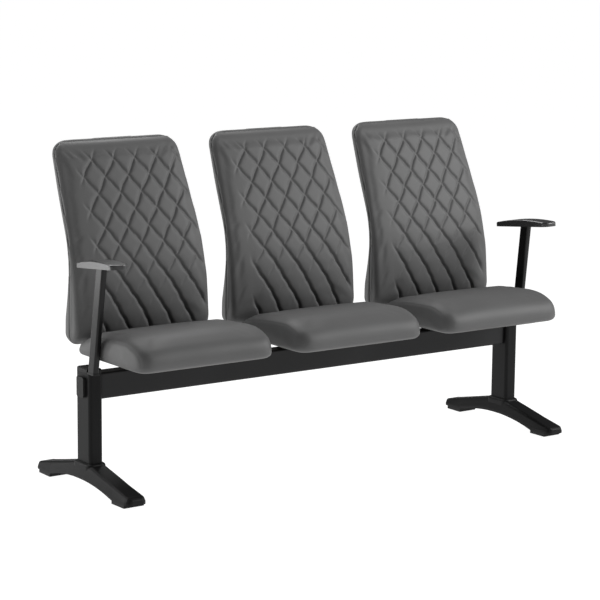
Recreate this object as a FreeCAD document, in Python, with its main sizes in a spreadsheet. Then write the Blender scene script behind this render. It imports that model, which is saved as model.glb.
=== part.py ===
import FreeCAD, Part
import Sketcher
import math
import os
from FreeCAD import Placement, Rotation, Vector

# Beam seating with three upholstered places on a steel beam between two T-shaped legs,
# and a T-shaped arm at each end. All sizes in mm.
# X runs along the beam, the sitter faces -Y, Z is up from the floor.
# Every piece is drawn about the middle plane of the beam. The last step moves them all
# along Y together, so that the origin is the bottom centre of the whole seating.

document = FreeCAD.newDocument("beam_seating")
sheet = document.addObject("Spreadsheet::Sheet", "Sizes")

SIZES = {
    # layout
    "chair_pitch": 563,
    "leg_spacing": 1612,
    "seat_gap": 0.3,
    "bolt_gap": 0.2,
    # beam: a rectangular tube with a plate welded into each end
    "beam_height": 80,
    "beam_depth": 50,
    "beam_wall": 3,
    "beam_corner": 6,
    "beam_underside": 277,
    "end_plate": 6,
    "end_nut_width": 18,
    "end_nut_height": 8,
    "beam_bolt": 10,
    "beam_bolt_head": 16,
    "beam_bolt_head_height": 6,
    "beam_bolt_spacing": 44,
    "beam_bolt_forward": 7,
    # column
    "column_width": 46,
    "column_depth": 80,
    "column_wall": 3,
    "column_corner": 10,
    "column_bottom": 62,
    "column_top": 360,
    "column_top_plate": 6,
    "column_base_plate": 10,
    "access_width": 16,
    "access_height": 54,
    # cover over the access opening
    "cover_width": 39,
    "cover_height": 61,
    "cover_proud": 10,
    "cover_corner": 6,
    "cover_plug": 7,
    "cover_screw": 4,
    "cover_screw_head": 8,
    "cover_screw_head_height": 2,
    "cover_screw_rearward": 10,
    "cover_screw_spacing": 34,
    # foot casting
    "foot_length": 548,
    "foot_width": 78,
    "foot_tip_width": 70,
    "foot_ridge_width": 56,
    "foot_tip_ridge_width": 56,
    "foot_top": 84,
    "foot_flat": 40,
    "foot_slope": 12.5,
    "foot_sole": 13,
    "foot_arch": 40,
    "foot_arch_span": 368,
    "foot_lip": 8,
    "foot_lip_round": 6,
    "foot_ridge_round": 12,
    "foot_wall": 5,
    "foot_core": 120,
    "foot_nose": 20,
    "collar_top": 88,
    "collar_width": 10,
    "foot_bolt": 10,
    "foot_bolt_head": 16,
    "foot_bolt_head_height": 6,
    "foot_bolt_spacing": 44,
    # shoe and levelling glide
    "shoe_length": 68,
    "shoe_lift": 3,
    "shoe_ring": 4,
    "shoe_ring_height": 7,
    "glide_offset": 216,
    "glide_disc": 38,
    "glide_disc_height": 7,
    "glide_stem": 8,
    "glide_stem_length": 24,
    "glide_boss": 26,
    "glide_room": 3,
    # cap on the column
    "cap_height": 13,
    "cap_wall": 2.5,
    "cap_round": 5,
    # arm
    "arm_outboard": 13,
    "arm_foot_y": -46,
    "arm_lean": 7.4,
    "arm_inward": 1.2,
    "arm_post_width": 19,
    "arm_post_depth": 38,
    "arm_post_corner": 6,
    "arm_foot_plate": 5,
    "arm_plate_depth": 74,
    "arm_top_plate": 4,
    "arm_top_plate_width": 34,
    "arm_top_plate_length": 130,
    "arm_bolt": 8,
    "arm_bolt_head": 13,
    "arm_bolt_head_height": 4,
    "arm_bolt_length": 12,
    "arm_bolt_spacing": 40,
    "arm_bolt_rearward": 9,
    "arm_nose_width": 22,
    "arm_nose_depth": 42,
    "pad_underside": 682.5,
    "pad_length": 240,
    "pad_width": 59,
    "pad_thickness": 23,
    "pad_end_thickness": 13,
    "pad_corner": 20,
    "pad_edge": 4,
    "pad_toe_out": 4,
    "pad_tilt": 6,
    "pad_screw": 5,
    "pad_screw_head": 9,
    "pad_screw_head_height": 2.5,
    "pad_screw_length": 11,
    "pad_screw_spacing": 96,
    # seat: bracket, board and cushion
    "bracket_height": 33,
    "bracket_sheet": 4,
    "bracket_web": 84,
    "bracket_width": 200,
    "bracket_flange": 40,
    "bracket_bolt": 8,
    "bracket_bolt_head": 14,
    "bracket_bolt_head_height": 5,
    "bracket_bolt_length": 22,
    "bracket_bolt_pitch": 120,
    "seat_bolt": 6,
    "seat_bolt_head": 12,
    "seat_bolt_head_height": 4,
    "seat_bolt_pitch": 160,
    "board_thickness": 12,
    "board_inset": 45,
    "board_rear_inset": 20,
    "board_proud": 5,
    "board_corner": 45,
    "seat_width": 484,
    "seat_front": 290,
    "seat_rear": 93,
    "seat_thickness": 94,
    "seat_crown": 5,
    "seat_side_round": 30,
    "seat_front_corner": 48,
    "seat_rear_corner": 30,
    "seat_brow_length": 115,
    "seat_brow_height": 64,
    "seat_front_round": 28,
    "seat_hip_rise": 82,
    "seat_hip_y": -20,
    "seat_tail_rise": 48,
    "seat_tail_drop": 29,
    "seat_tail_bulge": 4,
    "seat_tail_setback": 24,
    # back: strap, board, cushion and rear cover
    "strap_width": 76,
    "strap_thickness": 6,
    "strap_bend": 20,
    "strap_top": 590,
    "strap_bolt": 8,
    "strap_bolt_head": 14,
    "strap_bolt_head_height": 5,
    "strap_bolt_width": 44,
    "strap_bolt_height": 80,
    "strap_bolt_drop": 30,
    "back_board": 10,
    "back_board_y": 122,
    "back_board_width": 360,
    "back_board_bottom": 440,
    "back_board_top": 980,
    "back_board_straight": 600,
    "back_board_radius": 450,
    "back_lean": 23.5,
    "back_width": 484,
    "back_top_width": 434,
    "back_taper_start": 600,
    "back_bottom": 415,
    "back_top": 1020,
    "bottom_front": 68,
    "bottom_rear": 170,
    "hip_height": 500,
    "hip_front": 76,
    "hip_rear": 174,
    "waist_height": 620,
    "waist_front": 89,
    "waist_rear": 146,
    "shoulder_height": 800,
    "shoulder_front": 147,
    "shoulder_rear": 210,
    "top_front": 240,
    "top_rear": 302,
    "back_side_round": 18,
    "back_rear_round": 28,
    "back_top_corner": 48,
    "back_bottom_corner": 34,
    "back_top_round": 29,
    "back_bottom_rear_round": 30,
    "back_bottom_front_round": 64,
    "back_crown_depth": 60,
    "back_crown": 6,
    "strap_pocket": 2,
    # diamond quilting: half diamonds, and the sewn channels between them
    "diamond_half_width": 38.5,
    "diamond_half_height": 49.5,
    "diamond_centre": 812,
    "channel_width": 5,
    "channel_depth": 5,
    "quilt_margin": 44,
    "quilt_top_margin": 35,
    "quilt_bottom": 452,
    "cross_quilt_bottom": 640,
    # from the middle plane of the beam to the middle of the whole seating, set in the last step
    "beam_y": 0,
}

for row, (alias, number) in enumerate(SIZES.items(), start=1):
    sheet.set(f"A{row}", alias)
    sheet.set(f"B{row}", str(number))
    sheet.setAlias(f"B{row}", alias)
document.recompute()


def size(alias):
    """The number in the sheet under this alias."""
    return float(sheet.get(alias))


CHAIRS = {"left": -1, "centre": 0, "right": 1}
SIDES = {"left": -1, "right": 1}
ENDS = {"front": -1, "rear": 1}
WAYS = {
    "+x": (Rotation(Vector(0, 1, 0), 90), (1, 0, 0)),
    "-x": (Rotation(Vector(0, 1, 0), -90), (-1, 0, 0)),
    "+y": (Rotation(Vector(1, 0, 0), -90), (0, 1, 0)),
    "+z": (Rotation(), (0, 0, 1)),
    "-y": (Rotation(Vector(1, 0, 0), 90), (0, -1, 0)),
}
pieces = []


def linked(formula):
    """Put the sheet's name before each alias in a formula such as 'beam_depth / 2'."""
    words = str(formula).replace("(", " ( ").replace(")", " ) ").split()
    return " ".join(f"Sizes.{word}" if word in SIZES else word for word in words)


def bind(item, formulas):
    """Tie the item's properties to the sheet: {property path: formula}."""
    for path, formula in formulas.items():
        item.setExpression(path, linked(formula))
    return item


def place(item, x=0, y=0, z=0):
    """Bind the item's position to formulas in the sheet's aliases."""
    return bind(item, {f"Placement.Base.{axis}": formula for axis, formula in zip("xyz", (x, y, z))})


def box(name, x_size, y_size, z_size, x=0, y=0, z=0):
    """A block centred on x and y that stands on z."""
    item = document.addObject("Part::Box", name)
    bind(item, {"Length": x_size, "Width": y_size, "Height": z_size})
    return place(item, f"( {x} ) - ( {x_size} ) / 2", f"( {y} ) - ( {y_size} ) / 2", z)


def rod(name, diameter, length, x=0, y=0, z=0, way="+z"):
    """A round rod that starts at the point and runs the given way."""
    item = document.addObject("Part::Cylinder", name)
    bind(item, {"Radius": f"( {diameter} ) / 2", "Height": length})
    item.Placement = Placement(Vector(), WAYS[way][0])
    return place(item, x, y, z)


def bolt(name, kind, length, x, y, z, way="+z"):
    """A bolt whose shank starts at the point, with its head behind the point.
    kind is the alias of its diameter, before _head and _head_height."""
    back = [f"( {at} ) - ( {step} ) * {kind}_head_height" for at, step in zip((x, y, z), WAYS[way][1])]
    shank = rod(f"{name}_shank", kind, length, x, y, z, way)
    head = rod(f"{name}_top", f"{kind}_head", f"{kind}_head_height", *back, way)
    return join(name, [shank, head])


def bolt_hole(name, kind, length, x, y, z, way="+z"):
    """The clearance hole of a bolt, starting at the point."""
    return rod(name, f"{kind} + 2 * bolt_gap", length, x, y, z, way)


def join(name, items):
    item = document.addObject("Part::MultiFuse", name)
    item.Shapes = items
    return item


def cut(name, base, tools):
    item = document.addObject("Part::Cut", name)
    item.Base = base
    item.Tool = tools[0] if len(tools) == 1 else join(f"{name}_tools", tools)
    return item


def overlap(name, items):
    item = document.addObject("Part::MultiCommon", name)
    item.Shapes = items
    return item


def keep(item, node):
    """Hand the item in as the piece of this name."""
    item.Label = node
    pieces.append(item)
    return item


def keep_shape(node, shape, x=0.0):
    """Hand in a piece whose lofted or curved shape is made directly."""
    item = document.addObject("Part::Feature", f"{node}_solid")
    item.Shape = shape
    item.Placement = Placement(Vector(x, 0, 0), Rotation())
    return keep(item, node)


def origin_plane(body, role):
    for feature in body.Origin.OriginFeatures:
        if feature.Role == role:
            return feature
    raise ValueError(role)


def dimension(sketch, rule, start_value, formula):
    number = sketch.addConstraint(Sketcher.Constraint(*rule, start_value))
    sketch.setExpression(f"Constraints[{number}]", linked(formula))


def rounded_rectangle(sketch, width, height, radius):
    """Draw a rectangle with rounded corners, centred on the sketch's origin."""
    first = sketch.GeometryCount
    half_w, half_h, corner = 20, 30, 5
    flat_w, flat_h = half_w - corner, half_h - corner
    lines = (
        (Vector(-flat_w, -half_h), Vector(flat_w, -half_h)),
        (Vector(half_w, -flat_h), Vector(half_w, flat_h)),
        (Vector(flat_w, half_h), Vector(-flat_w, half_h)),
        (Vector(-half_w, flat_h), Vector(-half_w, -flat_h)),
    )
    for start, end in lines:
        sketch.addGeometry(Part.LineSegment(start, end), False)
    for x, y, angle in ((1, -1, 270), (1, 1, 0), (-1, 1, 90), (-1, -1, 180)):
        circle = Part.Circle(Vector(x * flat_w, y * flat_h), Vector(0, 0, 1), corner)
        arc = Part.ArcOfCircle(circle, math.radians(angle), math.radians(angle + 90))
        sketch.addGeometry(arc, False)
    for side, rule in enumerate(("Horizontal", "Vertical", "Horizontal", "Vertical")):
        sketch.addConstraint(Sketcher.Constraint(rule, first + side))
        sketch.addConstraint(Sketcher.Constraint("Tangent", first + side, 2, first + 4 + side, 1))
        following = first + (side + 1) % 4
        sketch.addConstraint(Sketcher.Constraint("Tangent", first + 4 + side, 2, following, 1))
        if side:
            sketch.addConstraint(Sketcher.Constraint("Equal", first + 4, first + 4 + side))
    sketch.addConstraint(Sketcher.Constraint("Symmetric", first + 4, 3, first + 6, 3, -1, 1))
    dimension(sketch, ("DistanceX", first + 3, 1, first + 1, 1), 2 * half_w, width)
    dimension(sketch, ("DistanceY", first, 1, first + 2, 1), 2 * half_h, height)
    dimension(sketch, ("Radius", first + 4), corner, radius)


def plate(name, width, height, radius, thickness, plane="XY_Plane", wall=None):
    """A body padded from a rounded rectangle: up from the floor plane, or half each way
    from an upright one. With a wall it is a tube."""
    body = document.addObject("PartDesign::Body", name)
    sketch = body.newObject("Sketcher::SketchObject", f"{name}_outline")
    sketch.AttachmentSupport = [(origin_plane(body, plane), "")]
    sketch.MapMode = "FlatFace"
    rounded_rectangle(sketch, width, height, radius)
    if wall is not None:
        inner = [f"( {outer} ) - 2 * {wall}" for outer in (width, height)]
        rounded_rectangle(sketch, *inner, f"( {radius} ) - {wall}")
    pad = body.newObject("PartDesign::Pad", f"{name}_pad")
    pad.Profile = sketch
    pad.Midplane = plane != "XY_Plane"
    bind(pad, {"Length": thickness})
    return body


def soften(body, name, radius, chosen):
    """Round the chosen edges or faces of a body's newest feature."""
    document.recompute()
    base = body.Tip
    fillet = body.newObject("PartDesign::Fillet", name)
    fillet.Base = (base, chosen(base.Shape))
    bind(fillet, {"Radius": radius})
    return body


def upright_edges(shape):
    names = []
    for number, edge in enumerate(shape.Edges, start=1):
        start, end = edge.Vertexes[0].Point, edge.Vertexes[-1].Point
        if abs(start.x - end.x) < 1e-6 and abs(start.y - end.y) < 1e-6:
            names.append(f"Edge{number}")
    return names


def highest_face(shape):
    heights = [face.CenterOfMass.z for face in shape.Faces]
    return [f"Face{heights.index(max(heights)) + 1}"]


def three_point_arc(*points):
    return Part.Arc(*points).toShape()


def polygon_wire(points):
    return Part.makePolygon([*points, points[0]])


# beam, its end plates and the bolts that hold it between the columns
BEAM_CENTRE = "( beam_underside + beam_height / 2 )"
BEAM_TOP = "( beam_underside + beam_height )"
COLUMN_X = "( leg_spacing / 2 )"
INNER_FACE = f"( {COLUMN_X} - column_width / 2 )"
OUTER_FACE = f"( {COLUMN_X} + column_width / 2 )"


def make_beam():
    length = f"2 * {INNER_FACE} - 2 * end_plate"
    tube = plate("beam", "beam_depth", "beam_height", "beam_corner", length, "YZ_Plane", "beam_wall")
    place(tube, z=BEAM_CENTRE)
    holes = []
    for chair, sign in CHAIRS.items():
        for number, bolt_x in enumerate(bracket_bolt_places(sign)):
            at = (bolt_x, 0, f"{BEAM_TOP} - 2 * beam_wall")
            holes.append(bolt_hole(f"beam_{chair}{number}", "bracket_bolt", "3 * beam_wall", *at))
    keep(cut("beam_drilled", tube, holes), "beam_tube")


def beam_bolt_places():
    return [f"{BEAM_CENTRE} + {way} * beam_bolt_spacing / 2" for way in (-1, 1)]


def make_end_plate(side, sign):
    name = f"end_plate_{side}"
    inward = "+x" if sign < 0 else "-x"
    body = plate(f"{name}_sheet", "beam_depth", "beam_height", "beam_corner", "end_plate", "YZ_Plane")
    place(body, f"{sign} * ( {INNER_FACE} - end_plate / 2 )", 0, BEAM_CENTRE)
    nut_start = f"{sign} * ( {INNER_FACE} - end_plate )"
    hole_start = f"{sign} * {INNER_FACE}"
    nuts = []
    holes = []
    for number, height in enumerate(beam_bolt_places()):
        at = (nut_start, "0 - beam_bolt_forward", height)
        nuts.append(rod(f"{name}_nut{number}", "end_nut_width", "end_nut_height", *at, inward))
        at = (hole_start, "0 - beam_bolt_forward", height)
        length = "end_plate + end_nut_height"
        holes.append(bolt_hole(f"{name}_hole{number}", "beam_bolt", length, *at, inward))
    solid = join(f"{name}_welded", [body, *nuts])
    keep(cut(name, solid, holes), f"beam_end_plate_{side}")


def make_beam_bolts():
    bolts = []
    for side, sign in SIDES.items():
        inward = "+x" if sign < 0 else "-x"
        start = f"{sign} * ( {INNER_FACE} + column_wall )"
        length = "column_wall + end_plate + end_nut_height"
        for number, height in enumerate(beam_bolt_places()):
            at = (start, "0 - beam_bolt_forward", height)
            bolts.append(bolt(f"beam_bolt_{side}{number}", "beam_bolt", length, *at, inward))
    keep(join("beam_bolts_all", bolts), "beam_bolts")


# columns: tubes with a plate welded flush into the top, and a threaded plate in the foot
COVER_SCREW_PLACES = [f"{BEAM_CENTRE} + {way} * cover_screw_spacing / 2" for way in (-1, 1)]
FOOT_BOLT_PLACES = [f"{way} * foot_bolt_spacing / 2" for way in (-1, 1)]
ARM_BOLT_PLACES = [f"arm_bolt_rearward + {way} * arm_bolt_spacing / 2" for way in (-1, 1)]


def make_column(side, sign):
    name = f"column_{side}"
    inward = "+x" if sign < 0 else "-x"
    centre = f"{sign} * {COLUMN_X}"
    height = "column_top - column_bottom"
    tube = plate(f"{name}_tube", "column_width", "column_depth", "column_corner", height, wall="column_wall")
    place(tube, centre, 0, "column_bottom")
    inside = ("column_width - 2 * column_wall", "column_depth - 2 * column_wall", "column_corner - column_wall")
    top = plate(f"{name}_top", *inside, "column_top_plate")
    place(top, centre, 0, "column_top - column_top_plate")
    tools = []
    opening = box(f"{name}_opening", "3 * column_wall", "access_width", "access_height",
                  f"{sign} * {OUTER_FACE}", "0 - beam_bolt_forward", f"{BEAM_CENTRE} - access_height / 2")
    tools.append(opening)
    for number, bolt_z in enumerate(beam_bolt_places()):
        at = (f"{sign} * ( {INNER_FACE} + 2 * column_wall )", "0 - beam_bolt_forward", bolt_z)
        tools.append(bolt_hole(f"{name}_beam{number}", "beam_bolt", "3 * column_wall", *at, inward))
    for number, screw_z in enumerate(COVER_SCREW_PLACES):
        at = (f"{sign} * ( {OUTER_FACE} + column_wall )", "cover_screw_rearward", screw_z)
        tools.append(bolt_hole(f"{name}_cover{number}", "cover_screw", "3 * column_wall", *at, inward))
    for number, bolt_y in enumerate(ARM_BOLT_PLACES):
        at = (centre, bolt_y, "column_top - 2 * column_top_plate")
        tools.append(bolt_hole(f"{name}_arm{number}", "arm_bolt", "3 * column_top_plate", *at))
    keep(cut(name, join(f"{name}_welded", [tube, top]), tools), f"column_{side}")

    base = plate(f"{name}_base", *inside, "column_base_plate")
    place(base, centre, 0, "column_bottom")
    holes = []
    for number, bolt_y in enumerate(FOOT_BOLT_PLACES):
        at = (centre, bolt_y, "column_bottom - column_base_plate")
        holes.append(bolt_hole(f"{name}_base{number}", "foot_bolt", "3 * column_base_plate", *at))
    keep(cut(f"{name}_base_drilled", base, holes), f"column_base_{side}")


# cover over the opening through which the beam bolts are tightened
def make_end_cover(side, sign):
    name = f"end_cover_{side}"
    outward = "+x" if sign > 0 else "-x"
    body = plate(f"{name}_face", "cover_width", "cover_height", "cover_corner", "cover_proud", "YZ_Plane")
    place(body, f"{sign} * ( {OUTER_FACE} + cover_proud / 2 )", 0, BEAM_CENTRE)
    plug = box(f"{name}_plug", "cover_plug", "access_width - 2 * seat_gap", "access_height - 2 * seat_gap",
               f"{sign} * ( {OUTER_FACE} - cover_plug / 2 )", "0 - beam_bolt_forward",
               f"{BEAM_CENTRE} - access_height / 2 + seat_gap")
    holes = []
    for number, screw_z in enumerate(COVER_SCREW_PLACES):
        at = (f"{sign} * ( {OUTER_FACE} - column_wall )", "cover_screw_rearward", screw_z)
        length = "column_wall + 2 * cover_proud"
        holes.append(bolt_hole(f"{name}_hole{number}", "cover_screw", length, *at, outward))
        head_seat = f"{sign} * ( {OUTER_FACE} + cover_proud - cover_screw_head_height )"
        at = (head_seat, "cover_screw_rearward", screw_z)
        head_room = "cover_screw_head + 2 * bolt_gap"
        holes.append(rod(f"{name}_sink{number}", head_room, "cover_proud", *at, outward))
    keep(cut(name, join(f"{name}_whole", [body, plug]), holes), name)


def make_cover_screws():
    screws = []
    for side, sign in SIDES.items():
        inward = "+x" if sign < 0 else "-x"
        start = f"{sign} * ( {OUTER_FACE} + cover_proud - cover_screw_head_height )"
        length = "cover_proud - cover_screw_head_height + column_wall + cover_screw"
        for number, screw_z in enumerate(COVER_SCREW_PLACES):
            at = (start, "cover_screw_rearward", screw_z)
            screws.append(bolt(f"cover_screw_{side}{number}", "cover_screw", length, *at, inward))
    keep(join("cover_screws_all", screws), "cover_screws")


# foot: an arched casting, hollow from below, with a collar round the column
def foot_section(along):
    """Base half width, ridge half width, top and sole at this distance from the middle."""
    half_length = size("foot_length") / 2
    straight = half_length - size("foot_nose")
    share = min(along, straight) / straight
    base = (size("foot_width") + share * (size("foot_tip_width") - size("foot_width"))) / 2
    ridge = (size("foot_ridge_width") + share * (size("foot_tip_ridge_width") - size("foot_ridge_width"))) / 2
    slope = math.tan(math.radians(size("foot_slope")))
    top = size("foot_top") - slope * max(0, min(along, straight) - size("foot_flat"))
    half_span = size("foot_arch_span") / 2
    rise = size("foot_arch") - size("foot_sole")
    radius = (half_span**2 + rise**2) / (2 * rise)
    sole = size("foot_sole")
    if along < half_span:
        sole = size("foot_arch") - radius + math.sqrt(radius**2 - along**2)
    nose = max(0, along - straight) / size("foot_nose")
    rounding = 1 - math.sqrt(max(0, 1 - nose**2))
    base -= rounding * base / 2
    ridge -= rounding * ridge / 2
    top -= rounding * (top - sole) / 2
    return base, ridge, top, sole


def softened(points, reach):
    """The edges of a closed outline whose corners are rounded by arcs that start and end
    this far from each corner. A reach of 0 keeps the corner."""
    edges = []
    starts = []
    ends = []
    for number, corner in enumerate(points):
        before = points[number - 1] - corner
        after = points[(number + 1) % len(points)] - corner
        cut_back = min(reach[number], before.Length / 3, after.Length / 3)
        starts.append(corner + before.normalize() * cut_back)
        ends.append(corner + after.normalize() * cut_back)
    for number, corner in enumerate(points):
        if reach[number]:
            middle = (starts[number] + ends[number]) / 4 + corner / 2
            edges.append(three_point_arc(starts[number], middle, ends[number]))
        edges.append(Part.LineSegment(ends[number], starts[(number + 1) % len(points)]).toShape())
    return edges


def foot_wire(along, sign, inset=0.0, floor=None):
    """The section of the casting, or of the hollow that lies inset from its faces."""
    base, ridge, top, sole = foot_section(along)
    lip = min(size("foot_lip"), (top - sole) / 3)
    lower = sole if floor is None else floor
    half = ((base - inset, lower), (base - inset, sole + lip), (ridge - inset / 2, top - inset))
    points = [Vector(x, sign * along, z) for x, z in half]
    points += [Vector(-x, sign * along, z) for x, z in reversed(half)]
    if inset:
        return polygon_wire(points)
    reach = (0, size("foot_lip_round"), size("foot_ridge_round"))
    return Part.Wire(softened(points, [*reach, *reversed(reach)]))


def foot_stations():
    half_length = size("foot_length") / 2
    nose = size("foot_nose")
    arch = size("foot_arch_span") / 2
    arch_steps = [arch * step / 6 for step in range(7)]
    nose_steps = [half_length - nose * (1 - math.sin(math.radians(turn))) for turn in (0, 25, 45, 65, 80, 90)]
    return sorted({*arch_steps, size("foot_flat"), *nose_steps})


def foot_shell():
    stations = foot_stations()
    wires = [foot_wire(along, -1) for along in reversed(stations[1:])]
    wires += [foot_wire(along, 1) for along in stations]
    return Part.makeLoft(wires, True, True)


def foot_hollows():
    """The room under the ridge, on each side of the solid middle."""
    start = size("foot_core") / 2
    end = size("foot_length") / 2 - size("foot_nose") - size("foot_wall")
    places = [start, *[along for along in foot_stations() if start < along < end], end]
    hollows = []
    for sign in (-1, 1):
        wires = [foot_wire(along, sign, size("foot_wall"), 0.0) for along in places]
        hollows.append(Part.makeLoft(wires, True, True))
    return hollows


def upright_cylinder(diameter, bottom, height, x=0.0, y=0.0):
    return Part.makeCylinder(diameter / 2, height, Vector(x, y, bottom))


def rounded_block(width, depth, corner, bottom, height):
    block = Part.makeBox(width, depth, height, Vector(-width / 2, -depth / 2, bottom))
    upright = [e for e in block.Edges if abs(e.Vertexes[0].Z - e.Vertexes[1].Z) > height / 2]
    return block.makeFillet(corner, upright)


def foot_collar():
    """A collar with a rounded upper edge that the column stands in."""
    growth = 2 * size("collar_width")
    bottom = size("foot_arch")
    height = size("collar_top") - bottom
    corner = size("column_corner") + size("collar_width")
    block = rounded_block(size("column_width") + growth, size("column_depth") + growth, corner, bottom, height)
    rim = [e for e in block.Edges if min(v.Z for v in e.Vertexes) > size("collar_top") - 0.01]
    return block.makeFillet(size("collar_width") - 1, rim)


def make_foot(side, sign):
    shell = foot_shell()
    casting = shell.cut(foot_hollows()).fuse(foot_collar())
    boss_top = foot_section(size("glide_offset"))[2]
    bosses = []
    holes = []
    for end in ENDS.values():
        y = end * size("glide_offset")
        boss = upright_cylinder(size("glide_boss"), size("foot_sole"), boss_top, 0, y)
        bosses.append(boss.common(shell))
        stem_room = size("glide_stem") + 2 * size("bolt_gap")
        depth = size("glide_stem_length") + size("glide_disc_height") + size("glide_room")
        holes.append(upright_cylinder(stem_room, 0, depth, 0, y))
    pocket_gap = 2 * size("seat_gap")
    width = size("column_width") + pocket_gap
    depth = size("column_depth") + pocket_gap
    corner = size("column_corner") + size("seat_gap")
    holes.append(rounded_block(width, depth, corner, size("column_bottom"), size("collar_top")))
    for way in (-1, 1):
        y = way * size("foot_bolt_spacing") / 2
        shank = size("foot_bolt") + 2 * size("bolt_gap")
        head = size("foot_bolt_head") + 2 * size("bolt_gap")
        holes.append(upright_cylinder(shank, 0, size("column_bottom") + 1, 0, y))
        holes.append(upright_cylinder(head, 0, foot_bolt_seat(), 0, y))
    casting = casting.fuse(bosses).cut(holes).removeSplitter()
    keep_shape(f"foot_{side}", casting, sign * size("leg_spacing") / 2)


def foot_bolt_seat():
    """The height at which the heads of the foot bolts bear, sunk into the arch."""
    return size("foot_arch") + size("foot_bolt_head_height") + 1


def make_foot_bolts():
    bolts = []
    seat = "( foot_arch + foot_bolt_head_height + 1 )"
    for side, sign in SIDES.items():
        for number, bolt_y in enumerate(FOOT_BOLT_PLACES):
            at = (f"{sign} * {COLUMN_X}", bolt_y, seat)
            length = f"column_bottom + column_base_plate - {seat}"
            bolts.append(bolt(f"foot_bolt_{side}{number}", "foot_bolt", length, *at))
    keep(join("foot_bolts_all", bolts), "foot_bolts")


# shoes under the ends of the feet, and the levelling glides that stand in them
def make_shoe(side, sign, end, way):
    inset = 1
    start = size("foot_arch_span") / 2
    stop = start + size("shoe_length")
    near = foot_section(start)[0] - inset
    far = foot_section(stop)[0] - inset
    lift = size("shoe_lift")
    outline = ((near, start), (far, stop), (-far, stop), (-near, start))
    face = Part.Face(polygon_wire([Vector(x, way * y, lift) for x, y in outline]))
    slab = face.extrude(Vector(0, 0, size("foot_sole") - lift))
    y = way * size("glide_offset")
    bore = size("glide_boss") + 2 * size("seat_gap")
    ring_height = size("shoe_ring_height")
    ring = upright_cylinder(bore + 2 * size("shoe_ring"), size("foot_sole"), ring_height, 0, y)
    disc_room = size("glide_disc") + 2 * size("glide_room")
    room = upright_cylinder(disc_room, 0, size("glide_disc_height") + 1, 0, y)
    hole = upright_cylinder(bore, 0, size("foot_top"), 0, y)
    solid = slab.fuse(ring).cut([room, hole]).removeSplitter()
    keep_shape(f"shoe_{side}_{end}", solid, sign * size("leg_spacing") / 2)


def make_glide(side, sign, end, way):
    name = f"glide_{side}_{end}"
    at = (f"{sign} * {COLUMN_X}", f"{way} * glide_offset")
    disc = rod(f"{name}_disc", "glide_disc", "glide_disc_height", *at, 0)
    stem = rod(f"{name}_stem", "glide_stem", "glide_stem_length + glide_disc_height", *at, 0)
    keep(join(name, [disc, stem]), name)


# arm: post with its two plates, cap over the foot plate, pad
POST_BOTTOM = "( column_top + arm_foot_plate )"


def post_middle(sign, height):
    """The middle of the leaning post at this height."""
    rise = height - size("column_top") - size("arm_foot_plate")
    forward = rise * math.tan(math.radians(size("arm_lean")))
    inward = rise * math.tan(math.radians(size("arm_inward")))
    x = sign * (size("leg_spacing") / 2 + size("arm_outboard") - inward)
    return Vector(x, size("arm_foot_y") - forward, height)


def on_post(item, sign, along=0.0, up=0.0):
    """Put an item drawn about its own middle on top of the post, toed out and tilted up
    at the front. It may be moved along the pad and up from the plate's underside."""
    toe_out = Rotation(Vector(0, 0, 1), sign * size("pad_toe_out"))
    turned = toe_out.multiply(Rotation(Vector(1, 0, 0), -size("pad_tilt")))
    spot = post_middle(sign, size("pad_underside")) + turned.multVec(Vector(0, along, up))
    item.Placement = Placement(spot, turned)
    return item


def make_arm_post(side, sign):
    name = f"arm_post_{side}"
    middle = f"{sign} * ( {COLUMN_X} + arm_outboard )"
    section = ("arm_post_width", "arm_post_depth", "arm_post_corner")
    post = plate(f"{name}_tube", *section, "pad_underside")
    # the tube is drawn too long at both ends and trimmed between its two plates
    foot_height = size("column_top") + size("arm_foot_plate")
    low = post_middle(sign, foot_height - (size("pad_underside") - foot_height) / 2)
    axis = post_middle(sign, size("pad_underside")) - low
    post.Placement = Placement(low, Rotation(Vector(0, 0, 1), axis))
    room = box(f"{name}_room", "6 * arm_post_width", "2 * pad_length", "pad_underside",
               middle, "arm_foot_y", POST_BOTTOM)
    above = plate(f"{name}_above", "6 * arm_post_width", "2 * pad_length", "arm_post_corner",
                  "pad_underside")
    on_post(above, sign, 0, size("arm_top_plate") / 2)
    post = cut(f"{name}_trimmed", overlap(f"{name}_long", [post, room]), [above])
    sole = plate(f"{name}_sole", "column_width - 2 * cap_wall - 2 * seat_gap", "arm_plate_depth",
                 "column_corner - cap_wall", "arm_foot_plate")
    place(sole, f"{sign} * {COLUMN_X}", 0, "column_top")
    nose = plate(f"{name}_nose", "arm_nose_width", "arm_nose_depth", "arm_post_corner", "arm_foot_plate")
    place(nose, middle, "arm_foot_y", "column_top")
    top = plate(f"{name}_top", "arm_top_plate_width", "arm_top_plate_length", "arm_post_corner", "arm_top_plate")
    on_post(top, sign)
    welded = join(f"{name}_welded", [post, sole, nose, top])
    holes = []
    for number, bolt_y in enumerate(ARM_BOLT_PLACES):
        at = (f"{sign} * {COLUMN_X}", bolt_y, "column_top - arm_foot_plate")
        holes.append(bolt_hole(f"{name}_hole{number}", "arm_bolt", "3 * arm_foot_plate", *at))
    for number, along in enumerate(pad_screw_places()):
        tool = document.addObject("Part::Cylinder", f"{name}_screw{number}")
        bind(tool, {"Radius": "pad_screw / 2 + bolt_gap", "Height": "3 * arm_top_plate"})
        holes.append(on_post(tool, sign, along, -size("arm_top_plate")))
    keep(cut(name, welded, holes), name)


def pad_screw_places():
    """Where the pad screws pass the top plate, along the pad."""
    return [way * size("pad_screw_spacing") / 2 for way in (-1, 1)]


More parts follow.
